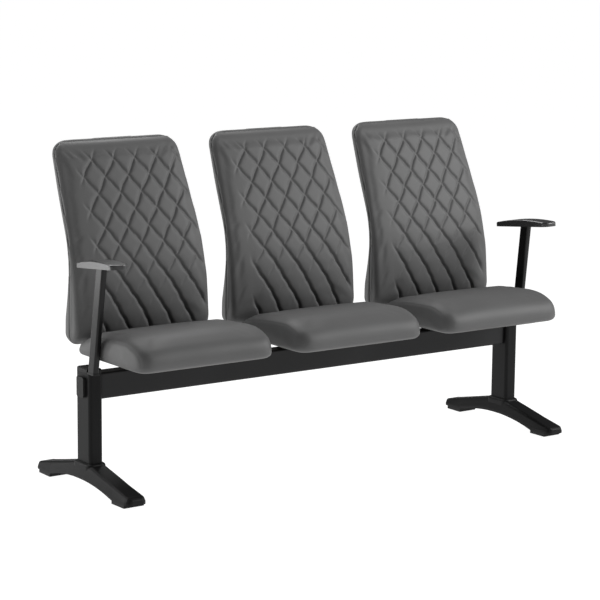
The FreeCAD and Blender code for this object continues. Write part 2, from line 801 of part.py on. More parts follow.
def make_arm_bolts():
    bolts = []
    for side, sign in SIDES.items():
        for number, bolt_y in enumerate(ARM_BOLT_PLACES):
            name = f"arm_bolt_{side}{number}"
            at = (f"{sign} * {COLUMN_X}", bolt_y)
            shank = rod(f"{name}_shank", "arm_bolt", "arm_bolt_length", *at, f"{POST_BOTTOM} - arm_bolt_length")
            head = rod(f"{name}_top", "arm_bolt_head", "arm_bolt_head_height", *at, POST_BOTTOM)
            bolts.append(join(name, [shank, head]))
    keep(join("arm_bolts_all", bolts), "arm_bolts")


def make_cap(side, sign):
    """A moulded cap over the foot plate, open where the post comes through."""
    name = f"column_cap_{side}"
    body = plate(f"{name}_shell", "column_width", "column_depth", "column_corner", "cap_height")
    soften(body, f"{name}_round", "cap_round", highest_face)
    place(body, f"{sign} * {COLUMN_X}", 0, "column_top + seat_gap")
    room = plate(f"{name}_room", "column_width - 2 * cap_wall", "column_depth - 2 * cap_wall",
                 "column_corner - cap_wall", "cap_height - cap_wall")
    place(room, f"{sign} * {COLUMN_X}", 0, "column_top")
    passage = box(f"{name}_passage", "2 * arm_nose_width", "arm_nose_depth + 2 * seat_gap", "2 * cap_height",
                  f"{sign} * ( {COLUMN_X} + arm_outboard + arm_nose_width / 2 - seat_gap )", "arm_foot_y",
                  "column_top - 1")
    keep(cut(name, body, [room, passage]), name)


def make_pad(side, sign):
    """A moulded pad with an arched top, that holds the post's top plate."""
    name = f"arm_pad_{side}"
    body = document.addObject("PartDesign::Body", f"{name}_body")
    sketch = body.newObject("Sketcher::SketchObject", f"{name}_profile")
    sketch.AttachmentSupport = [(origin_plane(body, "YZ_Plane"), "")]
    sketch.MapMode = "FlatFace"
    half = size("pad_length") / 2
    high = size("pad_end_thickness")
    rise = size("pad_thickness") - high
    radius = (half**2 + rise**2) / (2 * rise)
    start = math.asin((radius - rise) / radius)
    circle = Part.Circle(Vector(0, size("pad_thickness") - radius), Vector(0, 0, 1), radius)
    under, right, over, left = range(4)
    sketch.addGeometry(Part.LineSegment(Vector(-half, 0), Vector(half, 0)), False)
    sketch.addGeometry(Part.LineSegment(Vector(half, 0), Vector(half, high)), False)
    sketch.addGeometry(Part.ArcOfCircle(circle, start, math.pi - start), False)
    sketch.addGeometry(Part.LineSegment(Vector(-half, 0), Vector(-half, high)), False)
    for pair in ((under, 2, right, 1), (right, 2, over, 1), (over, 2, left, 2), (left, 1, under, 1)):
        sketch.addConstraint(Sketcher.Constraint("Coincident", *pair))
    sketch.addConstraint(Sketcher.Constraint("PointOnObject", under, 1, -1))
    for line in (right, left):
        sketch.addConstraint(Sketcher.Constraint("Vertical", line))
    sketch.addConstraint(Sketcher.Constraint("Equal", right, left))
    sketch.addConstraint(Sketcher.Constraint("Symmetric", under, 1, under, 2, -1, 1))
    dimension(sketch, ("DistanceX", under, 1, under, 2), 2 * half, "pad_length")
    dimension(sketch, ("DistanceY", right, 1, right, 2), high, "pad_end_thickness")
    arc_rise = "( pad_thickness - pad_end_thickness )"
    formula = f"( pad_length * pad_length / 4 + {arc_rise} * {arc_rise} ) / ( 2 * {arc_rise} )"
    dimension(sketch, ("Radius", over), radius, formula)
    pad = body.newObject("PartDesign::Pad", f"{name}_pad")
    pad.Profile = sketch
    pad.Midplane = True
    bind(pad, {"Length": "pad_width"})
    soften(body, f"{name}_corners", "pad_corner", upright_edges)
    soften(body, f"{name}_edge", "pad_edge", highest_face)
    on_post(body, sign)
    gap = "2 * seat_gap"
    recess = plate(f"{name}_recess", f"arm_top_plate_width + {gap}", f"arm_top_plate_length + {gap}",
                   "arm_post_corner + seat_gap", "2 * arm_top_plate + seat_gap")
    on_post(recess, sign, 0, -size("arm_top_plate"))
    holes = [recess]
    for number, along in enumerate(pad_screw_places()):
        tool = document.addObject("Part::Cylinder", f"{name}_hole{number}")
        bind(tool, {"Radius": "pad_screw / 2 + bolt_gap", "Height": "pad_screw_length + 1"})
        holes.append(on_post(tool, sign, along))
    keep(cut(name, body, holes), name)


def make_pad_screws():
    screws = []
    for side, sign in SIDES.items():
        for number, along in enumerate(pad_screw_places()):
            name = f"pad_screw_{side}{number}"
            shank = document.addObject("Part::Cylinder", f"{name}_shank")
            bind(shank, {"Radius": "pad_screw / 2", "Height": "pad_screw_length"})
            on_post(shank, sign, along)
            head = document.addObject("Part::Cylinder", f"{name}_top")
            bind(head, {"Radius": "pad_screw_head / 2", "Height": "pad_screw_head_height"})
            on_post(head, sign, along, -size("pad_screw_head_height"))
            screws.append(join(name, [shank, head]))
    keep(join("pad_screws_all", screws), "pad_screws")


# seat bracket: a hat channel on the beam, its flanges under the board
BRACKET_TOP = "( beam_underside + beam_height + bracket_height )"
FLANGE_UNDERSIDE = "( beam_underside + beam_height + bracket_height - bracket_sheet )"
FLANGE_Y = "( bracket_web + bracket_flange ) / 2"


def bracket_bolt_places(sign):
    return [f"{sign} * chair_pitch + {way} * bracket_bolt_pitch / 2" for way in (-1, 1)]


def flange_bolt_places(sign):
    """The four bolts through the flanges alone, as (x, y)."""
    spots = []
    for way in ENDS.values():
        for side in (-1, 1):
            spots.append((f"{sign} * chair_pitch + {side} * seat_bolt_pitch / 2", f"{way} * {FLANGE_Y}"))
    return spots


def strap_foot_places(sign):
    """The two bolts that also hold the strap of the back, as (x, y)."""
    return [(f"{sign} * chair_pitch + {side} * strap_bolt_width / 2", FLANGE_Y) for side in (-1, 1)]


def make_bracket(chair, sign):
    name = f"seat_bracket_{chair}"
    x = f"{sign} * chair_pitch"
    sheets = [box(f"{name}_web", "bracket_width", "bracket_web", "bracket_sheet", x, 0, BEAM_TOP)]
    for end, way in ENDS.items():
        y = f"{way} * ( bracket_web - bracket_sheet ) / 2"
        leg = box(f"{name}_leg_{end}", "bracket_width", "bracket_sheet", "bracket_height", x, y, BEAM_TOP)
        flange = box(f"{name}_flange_{end}", "bracket_width", "bracket_flange", "bracket_sheet", x,
                     f"{way} * {FLANGE_Y}", FLANGE_UNDERSIDE)
        sheets += [leg, flange]
    holes = []
    for number, bolt_x in enumerate(bracket_bolt_places(sign)):
        at = (bolt_x, 0, f"{BEAM_TOP} - bracket_sheet")
        holes.append(bolt_hole(f"{name}_web{number}", "bracket_bolt", "3 * bracket_sheet", *at))
    for number, spot in enumerate(flange_bolt_places(sign) + strap_foot_places(sign)):
        at = (*spot, f"{FLANGE_UNDERSIDE} - bracket_sheet")
        holes.append(bolt_hole(f"{name}_flange{number}", "seat_bolt", "3 * bracket_sheet", *at))
    keep(cut(name, join(f"{name}_folded", sheets), holes), name)


def make_bracket_bolts(chair, sign):
    name = f"bracket_bolts_{chair}"
    bolts = []
    for number, bolt_x in enumerate(bracket_bolt_places(sign)):
        top = f"{BEAM_TOP} + bracket_sheet"
        shank = rod(f"{name}_shank{number}", "bracket_bolt", "bracket_bolt_length", bolt_x, 0,
                    f"{top} - bracket_bolt_length")
        head = rod(f"{name}_top{number}", "bracket_bolt_head", "bracket_bolt_head_height", bolt_x, 0, top)
        bolts.append(join(f"{name}_{number}", [shank, head]))
    keep(join(name, bolts), name)


# seat board with the bolts that come up through the flanges
def make_board(chair, sign):
    name = f"seat_board_{chair}"
    width = "seat_width - 2 * board_inset"
    depth = "seat_front + seat_rear - board_inset - board_rear_inset"
    body = plate(f"{name}_sheet", width, depth, "board_corner", "board_thickness")
    middle = "( seat_rear - board_rear_inset - seat_front + board_inset ) / 2"
    place(body, f"{sign} * chair_pitch", middle, BRACKET_TOP)
    holes = []
    for number, spot in enumerate(flange_bolt_places(sign) + strap_foot_places(sign)):
        at = (*spot, f"{BRACKET_TOP} - board_thickness")
        holes.append(bolt_hole(f"{name}_hole{number}", "seat_bolt", "3 * board_thickness", *at))
    keep(cut(name, body, holes), name)


def make_seat_bolts(chair, sign):
    name = f"seat_bolts_{chair}"
    into_board = "bracket_sheet + board_thickness - 2"
    bolts = []
    for number, spot in enumerate(flange_bolt_places(sign)):
        bolts.append(bolt(f"{name}_{number}", "seat_bolt", into_board, *spot, FLANGE_UNDERSIDE))
    for number, spot in enumerate(strap_foot_places(sign)):
        start = f"{FLANGE_UNDERSIDE} - strap_thickness"
        length = f"strap_thickness + {into_board}"
        bolts.append(bolt(f"{name}_strap{number}", "seat_bolt", length, *spot, start))
    keep(join(name, bolts), name)


# strap: bent from flat bar, from under the rear flange up behind the back board
STRAP_FRONT = "( back_board_y + back_board )"
BEND_Y = "( back_board_y + back_board - strap_bend )"
BEND_Z = f"( {FLANGE_UNDERSIDE} + strap_bend )"


def back_bolt_places(sign):
    """The four bolts from the strap into the back board, as (x, z)."""
    spots = []
    for side in (-1, 1):
        x = f"{sign} * chair_pitch + {side} * strap_bolt_width / 2"
        spots += [(x, f"strap_top - strap_bolt_drop - {step} * strap_bolt_height") for step in (0, 1)]
    return spots


def make_strap(chair, sign):
    name = f"back_strap_{chair}"
    x = f"{sign} * chair_pitch"
    start = "( bracket_web / 2 + bracket_sheet )"
    lying = box(f"{name}_lying", "strap_width", f"{BEND_Y} - {start}", "strap_thickness", x,
                f"( {BEND_Y} + {start} ) / 2", f"{FLANGE_UNDERSIDE} - strap_thickness")
    standing = box(f"{name}_standing", "strap_width", "strap_thickness", f"strap_top - {BEND_Z}", x,
                   f"{STRAP_FRONT} + strap_thickness / 2", BEND_Z)
    rolls = []
    for way, radius in (("outer", "strap_bend + strap_thickness"), ("inner", "strap_bend")):
        edge = f"{x} - strap_width / 2"
        roll = rod(f"{name}_{way}", f"2 * ( {radius} )", "strap_width", edge, BEND_Y, BEND_Z, "+x")
        roll.Angle = 90
        rolls.append(roll)
    bend = cut(f"{name}_bend", rolls[0], rolls[1:])
    holes = []
    for number, spot in enumerate(strap_foot_places(sign)):
        at = (*spot, f"{FLANGE_UNDERSIDE} - 2 * strap_thickness")
        holes.append(bolt_hole(f"{name}_foot{number}", "seat_bolt", "3 * strap_thickness", *at))
    for number, (bolt_x, bolt_z) in enumerate(back_bolt_places(sign)):
        at = (bolt_x, f"{STRAP_FRONT} + 2 * strap_thickness", bolt_z)
        holes.append(bolt_hole(f"{name}_hole{number}", "strap_bolt", "3 * strap_thickness", *at, "-y"))
    keep(cut(name, join(f"{name}_bar", [lying, bend, standing]), holes), name)


def make_back_bolts(chair, sign):
    name = f"back_bolts_{chair}"
    bolts = []
    for number, (bolt_x, bolt_z) in enumerate(back_bolt_places(sign)):
        start = f"{STRAP_FRONT} + strap_thickness"
        length = "strap_thickness + back_board - 1"
        bolts.append(bolt(f"{name}_{number}", "strap_bolt", length, bolt_x, start, bolt_z, "-y"))
    keep(join(name, bolts), name)


# back board: upright behind the hips, then bent back to the lean of the shoulders
def board_line(offset, bottom, top):
    """The board's front face seen from the side, moved rearwards by the offset, as edges."""
    radius = size("back_board_radius") - offset
    centre = Vector(0, size("back_board_y") + size("back_board_radius"), size("back_board_straight"))
    lean = math.radians(size("back_lean"))

    def on_arc(angle):
        return centre + Vector(0, -radius * math.cos(angle), radius * math.sin(angle))

    low = Vector(0, on_arc(0).y, bottom)
    end = on_arc(lean)
    high = end + Vector(0, math.tan(lean) * (top - end.z), top - end.z)
    return [
        Part.LineSegment(low, on_arc(0)).toShape(),
        three_point_arc(on_arc(0), on_arc(lean / 2), end),
        Part.LineSegment(end, high).toShape(),
    ]


def board_slab(front, rear, width, bottom, top):
    """A slab between two lines that run parallel to the board's front face."""
    ahead = board_line(front, bottom, top)
    behind = board_line(rear, bottom, top)
    ends = [(line[0].Vertexes[0].Point, line[-1].Vertexes[-1].Point) for line in (ahead, behind)]
    lower = Part.LineSegment(ends[0][0], ends[1][0]).toShape()
    upper = Part.LineSegment(ends[0][1], ends[1][1]).toShape()
    face = Part.Face(Part.Wire(Part.__sortEdges__([*ahead, upper, *behind, lower])))
    face.translate(Vector(-width / 2, 0, 0))
    return face.extrude(Vector(width, 0, 0))


def make_back_board(chair, sign):
    width = size("back_board_width")
    solid = board_slab(0, size("back_board"), width, size("back_board_bottom"), size("back_board_top"))
    height = size("back_board_top") - size("back_board_bottom")
    outline = rounded_block(width, height, size("board_corner"), -width, width)
    outline.rotate(Vector(), Vector(1, 0, 0), 90)
    outline.translate(Vector(0, 0, size("back_board_bottom") + height / 2))
    solid = solid.common(outline)
    holes = []
    for side in (-1, 1):
        for step in (0, 1):
            x = side * size("strap_bolt_width") / 2
            z = size("strap_top") - size("strap_bolt_drop") - step * size("strap_bolt_height")
            radius = size("strap_bolt") / 2 + size("bolt_gap")
            base = Vector(x, size("back_board_y") - size("back_board"), z)
            holes.append(Part.makeCylinder(radius, 3 * size("back_board"), base, Vector(0, 1, 0)))
    keep_shape(f"back_board_{chair}", solid.cut(holes), sign * size("chair_pitch"))


# seat cushion: a waterfall front, a crowned top that falls to the back, drawn-in sides
def corner_setback(x, half, corner):
    """How far a rounded corner in plan has drawn the end in at this distance from the middle."""
    return corner - math.sqrt(corner**2 - max(0, x - half + corner) ** 2)


def seat_wire(x):
    half = size("seat_width") / 2
    side_round = size("seat_side_round")
    tuck = corner_setback(x, half, side_round)
    floor = board_underside() + size("board_proud")
    front, rear = -size("seat_front"), size("seat_rear")
    brow = front + size("seat_brow_length")
    hip = size("seat_hip_y")
    front_share = (front + corner_setback(x, half, size("seat_front_corner")) - brow) / (front - brow)
    rear_share = (rear - corner_setback(x, half, size("seat_rear_corner")) - hip) / (rear - hip)
    bottom = floor + tuck / 3
    thickness = size("seat_thickness")
    height_share = (thickness - tuck * 4 / 3 - size("seat_crown") * (x / half) ** 2) / thickness

    def at(y, rise):
        if y < brow:
            y = brow + (y - brow) * front_share
        if y > hip:
            y = hip + (y - hip) * rear_share
        return Vector(x, y, bottom + rise * height_share)

    def brow_at(turn):
        angle = math.radians(turn)
        drop = size("seat_brow_height") * (1 - math.cos(angle))
        return at(brow + (front - brow) * math.sin(angle), thickness - drop)

    roll = size("seat_front_round")
    bulge = roll * (1 - math.sin(math.radians(45)))
    fall = size("seat_hip_rise")
    tail = size("seat_tail_rise")
    tail_y = rear - size("seat_tail_setback")
    drop = size("seat_tail_drop")
    dish = size("seat_tail_bulge")
    edges = [
        Part.LineSegment(at(rear - roll / 2, 0), at(front + roll, 0)).toShape(),
        three_point_arc(at(front + roll, 0), at(front + bulge, bulge), at(front, roll)),
        three_point_arc(at(front, roll), brow_at(67.5), brow_at(45)),
        three_point_arc(brow_at(45), brow_at(22.5), at(brow, thickness)),
        three_point_arc(at(brow, thickness), at((brow + hip) / 2, (3 * thickness + fall) / 4), at(hip, fall)),
        three_point_arc(at(hip, fall), at((hip + tail_y) / 2, (fall + tail) / 2 + dish), at(tail_y, tail)),
        three_point_arc(at(tail_y, tail), at(rear - 1.5 * dish, tail - 0.45 * drop), at(rear, tail - drop)),
        three_point_arc(at(rear, tail - drop), at(rear - dish, 1.5 * dish), at(rear - roll / 2, 0)),
    ]
    return Part.Wire(edges)


def board_underside():
    return size("beam_underside") + size("beam_height") + size("bracket_height")


def board_pocket():
    """The room in the cushion for the board, a small gap wider all round."""
    gap = size("seat_gap")
    front = size("board_inset") - size("seat_front")
    rear = size("seat_rear") - size("board_rear_inset")
    width = size("seat_width") - 2 * size("board_inset") + 2 * gap
    pocket = rounded_block(width, rear - front + 2 * gap, size("board_corner") + gap, board_underside(),
                           size("board_thickness") + gap)
    pocket.translate(Vector(0, (front + rear) / 2, 0))
    return pocket


def seat_shape():
    half = size("seat_width") / 2
    side_round = size("seat_side_round")
    corner = size("seat_front_corner")
    turns = [half - side_round * (1 - math.sin(math.radians(turn))) for turn in (40, 65, 90)]
    stations = [0, half / 2, half - corner, half - side_round, *turns]
    stations = [-x for x in reversed(stations[1:])] + stations
    wires = []
    for x in stations:
        wire = seat_wire(abs(x))
        if x < 0:
            wire = wire.mirror(Vector(), Vector(1, 0, 0))
        wires.append(wire)
    return Part.makeLoft(wires, True, False).cut(board_pocket())


# back: one upholstered form, parted along the front face of its board
def profile(front_or_rear):
    """A smooth curve through the named depths of the front or the rear face."""
    between = ("hip", "waist", "shoulder")
    heights = [size("back_bottom"), *[size(f"{name}_height") for name in between], size("back_top")]
    depths = [size(f"{name}_{front_or_rear}") for name in ("bottom", *between, "top")]
    curve = Part.BSplineCurve()
    points = [Vector(0, depth, height) for depth, height in zip(depths, heights)]
    curve.interpolate(Points=points, Parameters=heights)
    return curve


def rounding(distance, radius):
    """How far an edge of this radius is drawn in at a distance from the end of the form."""
    if distance >= radius:
        return 0.0
    return radius - math.sqrt(radius**2 - (radius - distance) ** 2)


def back_wire(height, front_curve, rear_curve):
    below = height - size("back_bottom")
    above = size("back_top") - height
    front = front_curve.value(height).y
    front += rounding(below, size("back_bottom_front_round")) + rounding(above, size("back_top_round"))
    rear = rear_curve.value(height).y
    rear -= rounding(below, size("back_bottom_rear_round")) + rounding(above, size("back_top_round"))
    taper = max(0, height - size("back_taper_start")) / (size("back_top") - size("back_taper_start"))
    half = (size("back_width") + taper * (size("back_top_width") - size("back_width"))) / 2
    half -= rounding(below, size("back_bottom_corner")) + rounding(above, size("back_top_corner"))
    depth = rear - front
    crown = size("back_crown") * min(1, depth / size("back_crown_depth"))
    corner = min(size("back_side_round"), (depth - crown) * 0.4)
    behind = min(size("back_rear_round"), (depth - crown) * 0.5)
    on_arc = 1 - math.sin(math.radians(45))
    shoulder = front + crown

    def at(x, y):
        return Vector(x, y, height)

    def side(sign):
        """The rounded front edge, the side and the rounded rear edge, front to rear."""
        face = sign * half
        return [
            three_point_arc(at(face - sign * corner, shoulder),
                            at(face - sign * corner * on_arc, shoulder + corner * on_arc),
                            at(face, shoulder + corner)),
            Part.LineSegment(at(face, shoulder + corner), at(face, rear - behind)).toShape(),
            three_point_arc(at(face, rear - behind), at(face - sign * behind * on_arc, rear - behind * on_arc),
                            at(face - sign * behind, rear)),
        ]

    edges = [
        three_point_arc(at(corner - half, shoulder), at(0, front), at(half - corner, shoulder)),
        *side(1),
        Part.LineSegment(at(half - behind, rear), at(behind - half, rear)).toShape(),
        *reversed(side(-1)),
    ]
    return Part.Wire(edges)


def back_form():
    bottom = size("back_bottom")
    top = size("back_top")
    low_round = size("back_bottom_front_round")
    high_round = size("back_top_corner")
    heights = [bottom + low_round * (1 - math.cos(math.radians(turn))) for turn in (0, 12, 28, 48, 70, 90)]
    middle_start = heights[-1]
    middle_end = top - high_round
    heights += [middle_start + (middle_end - middle_start) * step / 6 for step in range(1, 7)]
    heights += [top - high_round * (1 - math.sin(math.radians(turn))) for turn in (20, 40, 58, 74, 84, 90)][:5]
    heights.append(top)
    front_curve = profile("front")
    rear_curve = profile("rear")
    wires = [back_wire(height, front_curve, rear_curve) for height in heights]
    return Part.makeLoft(wires, True, False)


def quilt_channels(form):
    """The sewn channels: narrow strips along both diagonals of the diamonds, which reach
    from in front of the form to the channel's depth under its front face."""
    floor = form.copy()
    floor.translate(Vector(0, size("channel_depth"), 0))
    half = size("back_width") / 2 - size("quilt_margin")
    bottom = size("quilt_bottom")
    top = size("back_top") - size("quilt_top_margin")
    crossing = size("cross_quilt_bottom")
    windows = {
        1: Part.makeBox(2 * half, size("top_rear"), top - bottom, Vector(-half, 0, bottom)),
        -1: Part.makeBox(2 * half, size("top_rear"), top - crossing, Vector(-half, 0, crossing)),
    }
    step = 2 * size("diamond_half_width")
    slope = math.degrees(math.atan2(size("diamond_half_height"), size("diamond_half_width")))
    thin = size("channel_width")
    long = 2 * (top - bottom)
    reach = int((top - bottom) / size("diamond_half_height") / 2 + half / step) + 1
    strips = []
    for way, window in windows.items():
        for number in range(-reach, reach + 1):
            strip = Part.makeBox(2 * long, size("top_rear"), thin, Vector(-long, 0, -thin / 2))
            strip.rotate(Vector(), Vector(0, 1, 0), way * slope)
            strip.translate(Vector(number * step, 0, size("diamond_centre")))
            strip = strip.common(window)
            if strip.Volume > 1:
                strips.append(strip)
    return strips[0].multiFuse(strips[1:]).cut(floor)


def back_shapes():
    """The quilted front cushion and the rear cover of a back, about its own middle."""
    form = back_form()
    margin = size("back_board_width") / 8
    low = size("back_bottom") - margin
    high = size("back_top") + margin
    wide = 2 * size("back_width")
    ahead = -size("back_board_radius")
    gap = size("seat_gap")
    cushion = form.common(board_slab(ahead, -gap, wide, low, high)).cut(quilt_channels(form))
    cover = form.cut(board_slab(ahead, 0, wide, low, high))
    pocket = board_slab(0, size("back_board") + gap, size("back_board_width") + 2 * gap,
                        size("back_board_bottom") - gap, size("back_board_top") + gap)
    pocket_width = size("strap_width") + 2 * size("strap_pocket")
    pocket_depth = size("strap_thickness") + size("strap_bolt_head_height") + size("strap_pocket")
    passage = Part.makeBox(pocket_width, pocket_depth, size("strap_top") + size("strap_pocket") - low,
                           Vector(-pocket_width / 2, size("back_board_y") + size("back_board"), low))
    return cushion, cover.cut([pocket, passage])


def make_all():
    make_beam()
    make_beam_bolts()
    for side, sign in SIDES.items():
        make_end_plate(side, sign)
        make_column(side, sign)
        make_end_cover(side, sign)
        make_foot(side, sign)
        for end, way in ENDS.items():
            make_shoe(side, sign, end, way)
            make_glide(side, sign, end, way)
        make_cap(side, sign)
        make_arm_post(side, sign)
        make_pad(side, sign)
    make_cover_screws()
    make_foot_bolts()
    make_arm_bolts()
    make_pad_screws()
    seat = seat_shape()
    cushion, cover = back_shapes()
    for chair, sign in CHAIRS.items():
        make_bracket(chair, sign)
        make_bracket_bolts(chair, sign)
        make_board(chair, sign)
        make_seat_bolts(chair, sign)
        make_strap(chair, sign)
        make_back_board(chair, sign)
        make_back_bolts(chair, sign)
        keep_shape(f"seat_cushion_{chair}", seat, sign * size("chair_pitch"))
        keep_shape(f"back_cushion_{chair}", cushion, sign * size("chair_pitch"))
        keep_shape(f"back_cover_{chair}", cover, sign * size("chair_pitch"))


make_all()
for item in pieces:
    bind(item, {"Placement.Base.y": "beam_y"})
document.recompute()

# the last step: the origin comes to the middle of the whole seating
whole = FreeCAD.BoundBox()
for item in pieces:
    whole.add(item.Shape.optimalBoundingBox(False, False))
beam_y = -(whole.YMin + whole.YMax) / 2
sheet.set(f"B{list(SIZES).index('beam_y') + 1}", f"{beam_y:.3f}")
document.recompute()

# every feature must have worked, and every piece must be sound, before anything is written
faults = [item.Name for item in document.Objects if "Invalid" in item.State or "Error" in item.State]
for item in pieces:
    shape = item.Shape
    if shape.isNull() or not shape.isValid() or not shape.Solids:
        faults.append(item.Label)
if faults:
    raise RuntimeError(f"unsound: {faults}")

os.makedirs("parts", exist_ok=True)
for item in pieces:
    item.Shape.exportStep(f"parts/{item.Label}.step")
print(f"{len(pieces)} pieces, beam_y {beam_y:.3f}, size {whole.XLength:.2f} x {whole.YLength:.2f} x {whole.ZLength:.2f}")
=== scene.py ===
import math
import bpy
import numpy as np
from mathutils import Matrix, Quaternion, Vector


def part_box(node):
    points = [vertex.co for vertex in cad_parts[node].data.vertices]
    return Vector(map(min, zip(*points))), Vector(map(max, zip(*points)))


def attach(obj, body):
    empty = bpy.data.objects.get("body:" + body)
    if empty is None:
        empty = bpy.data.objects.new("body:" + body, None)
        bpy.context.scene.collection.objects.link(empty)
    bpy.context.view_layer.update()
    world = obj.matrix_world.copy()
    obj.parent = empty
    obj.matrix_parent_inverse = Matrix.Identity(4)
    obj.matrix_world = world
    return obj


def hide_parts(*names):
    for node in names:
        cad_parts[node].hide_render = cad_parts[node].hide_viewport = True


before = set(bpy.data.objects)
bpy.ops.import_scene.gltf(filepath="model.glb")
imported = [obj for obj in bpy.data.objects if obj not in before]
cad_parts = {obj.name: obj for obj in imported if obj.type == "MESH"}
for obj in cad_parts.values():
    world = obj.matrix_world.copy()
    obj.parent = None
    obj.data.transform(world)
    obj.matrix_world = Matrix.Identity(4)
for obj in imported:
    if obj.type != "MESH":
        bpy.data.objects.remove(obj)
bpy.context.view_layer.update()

# The view from which the seating was photographed: from the front left, a little above the
# seats, with a long lens, so that the three places shrink only slightly towards the right.
LENS = 133.97
SEEN_FROM = Vector((-4.052, -5.6333, 1.738))
SEEN_AT = Vector((-0.043, -0.0033, 0.502))
TILT = math.radians(0.56)

camera_data = bpy.data.cameras.new("view")
camera_data.lens = LENS
camera_data.sensor_width = 36.0
camera_data.clip_end = 60.0
camera = bpy.data.objects.new("view", camera_data)
bpy.context.scene.collection.objects.link(camera)
camera.location = SEEN_FROM
camera.rotation_mode = "QUATERNION"
towards = (SEEN_AT - SEEN_FROM).to_track_quat("-Z", "Y")
camera.rotation_quaternion = towards @ Quaternion((0.0, 0.0, 1.0), TILT)
bpy.context.scene.camera = camera


# Floor of the studio: a plain pale sheet that the seating stands on, far larger than the
# view. It isn't part of the object.
def fresh_selection():
    """Leave nothing selected, so that an operator acts on what is picked next."""
    bpy.ops.object.select_all(action="DESELECT")


class Socket:
    """A value in a material's node tree. Sums and products of values add Math nodes."""

    def __init__(self, tree, socket):
        self.tree = tree
        self.socket = socket

    def math(self, operation, other):
        return node(self.tree, "ShaderNodeMath", {"operation": operation}, {0: self, 1: other})

    def __add__(self, other):
        return self.math("ADD", other)

    def __mul__(self, other):
        return self.math("MULTIPLY", other)

    __radd__ = __add__
    __rmul__ = __mul__


def node(tree, kind, settings=None, inputs=None, output=0):
    """Add a node of this kind, set it, then set or link its sockets."""
    made = tree.nodes.new(kind)
    for name, value in (settings or {}).items():
        setattr(made, name, value)
    for key, value in (inputs or {}).items():
        if isinstance(value, Socket):
            tree.links.new(value.socket, made.inputs[key])
        else:
            made.inputs[key].default_value = value
    return Socket(tree, made.outputs[output])


def plain_material(name, colour, roughness, **constants):
    """A plain material, and its tree, shader and object coordinates for what varies on it."""
    material = bpy.data.materials.new(name)
    material.use_nodes = True
    tree = material.node_tree
    shader = tree.nodes["Principled BSDF"]
    shader.inputs["Base Color"].default_value = (*colour, 1.0)
    shader.inputs["Roughness"].default_value = roughness
    for key, value in constants.items():
        shader.inputs[key.replace("_", " ")].default_value = value
    place = node(tree, "ShaderNodeTexCoord", output="Object")
    return material, tree, shader, place


def into(shader, key, value):
    """Let a value that varies over the surface feed this socket of the shader."""
    value.tree.links.new(value.socket, shader.inputs[key])


WHITE = (1.0, 1.0, 1.0, 1.0)
FLOOR_WIDTH = 120.0
FLOOR_DROP = 0.0005
FLOOR_GREY = 0.15
FLOOR_GLOW = 0.98
floor_paint, _, shader, _ = plain_material("floor_paint", (FLOOR_GREY,) * 3, 0.9,
                                           Emission_Strength=FLOOR_GLOW)
shader.inputs["Emission Color"].default_value = WHITE
fresh_selection()
bpy.ops.mesh.primitive_plane_add(size=FLOOR_WIDTH, location=(0.0, 0.0, -FLOOR_DROP))
floor = bpy.context.active_object
floor.name = "studio_floor"
floor.data.materials.append(floor_paint)


# Light of the studio: a large softbox at the upper right front and one above the backs, with
# two small ones that graze the left sides. The room itself is dim.
ROOM_LIGHT = 0.10
world = bpy.data.worlds.new("studio")
bpy.context.scene.world = world
world.use_nodes = True
background = world.node_tree.nodes["Background"]
background.inputs["Color"].default_value = WHITE
background.inputs["Strength"].default_value = ROOM_LIGHT
bpy.context.scene.view_settings.view_transform = "Standard"


def soft_light(name, place, aim, width, height, watts):
    """A softbox that shines from its place towards the aim."""
    data = bpy.data.lights.new(name, "AREA")
    data.shape = "RECTANGLE"
    data.size = width
    data.size_y = height
    data.energy = watts
    light = bpy.data.objects.new(name, data)
    bpy.context.scene.collection.objects.link(light)
    light.location = place
    light.rotation_mode = "QUATERNION"
    light.rotation_quaternion = (Vector(aim) - Vector(place)).to_track_quat("-Z", "Y")


soft_light("left_softbox", (-2.5, 0.7, 0.9), (-0.8, 0.0, 0.7), 1.1, 1.2, 19)
soft_light("rear_left_strip", (-2.0, 1.8, 0.8), (-0.8, 0.0, 0.6), 0.6, 1.0, 11)
soft_light("right_softbox", (3.2, -2.5, 2.7), (0.0, 0.0, 0.6), 3.0, 2.6, 205)
soft_light("ceiling_softbox", (-0.2, 1.5, 2.9), (0.0, -0.2, 0.5), 3.0, 1.4, 85)


# Beam, columns, arm posts, brackets and straps: welded steel, powder coated in satin black.
# The coat is fine grained, with a slightly uneven gloss.
def paint_nodes(material, *names):
    """Give these pieces of the frame the material in place of their plain one."""
    for name in names:
        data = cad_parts[name].data
        for index in range(max(1, len(data.materials))):
            if data.materials:
                data.materials[index] = material
            else:
                data.materials.append(material)


COAT_GRAINS = 900.0
COAT_CLOUDS = 6.0
COAT_UNEVEN = 0.04
COAT_RELIEF = 0.0004
COOL_TINT = 1.04


def powder_coat(name, shade, roughness, grain, gloss):
    """Black paint with a fine grain and a slightly cloudy gloss."""
    material, tree, shader, place = plain_material(name, (shade, shade, shade * COOL_TINT), roughness,
                                                   Specular_IOR_Level=gloss)
    fine = node(tree, "ShaderNodeTexNoise", None, {"Vector": place, "Scale": COAT_GRAINS, "Detail": 2.0})
    broad = node(tree, "ShaderNodeTexNoise", None, {"Vector": place, "Scale": COAT_CLOUDS, "Detail": 1.0})
    into(shader, "Roughness", roughness - COAT_UNEVEN + broad * (2 * COAT_UNEVEN))
    bump = node(tree, "ShaderNodeBump", None,
                {"Height": fine, "Strength": grain, "Distance": COAT_RELIEF})
    into(shader, "Normal", bump)
    return material


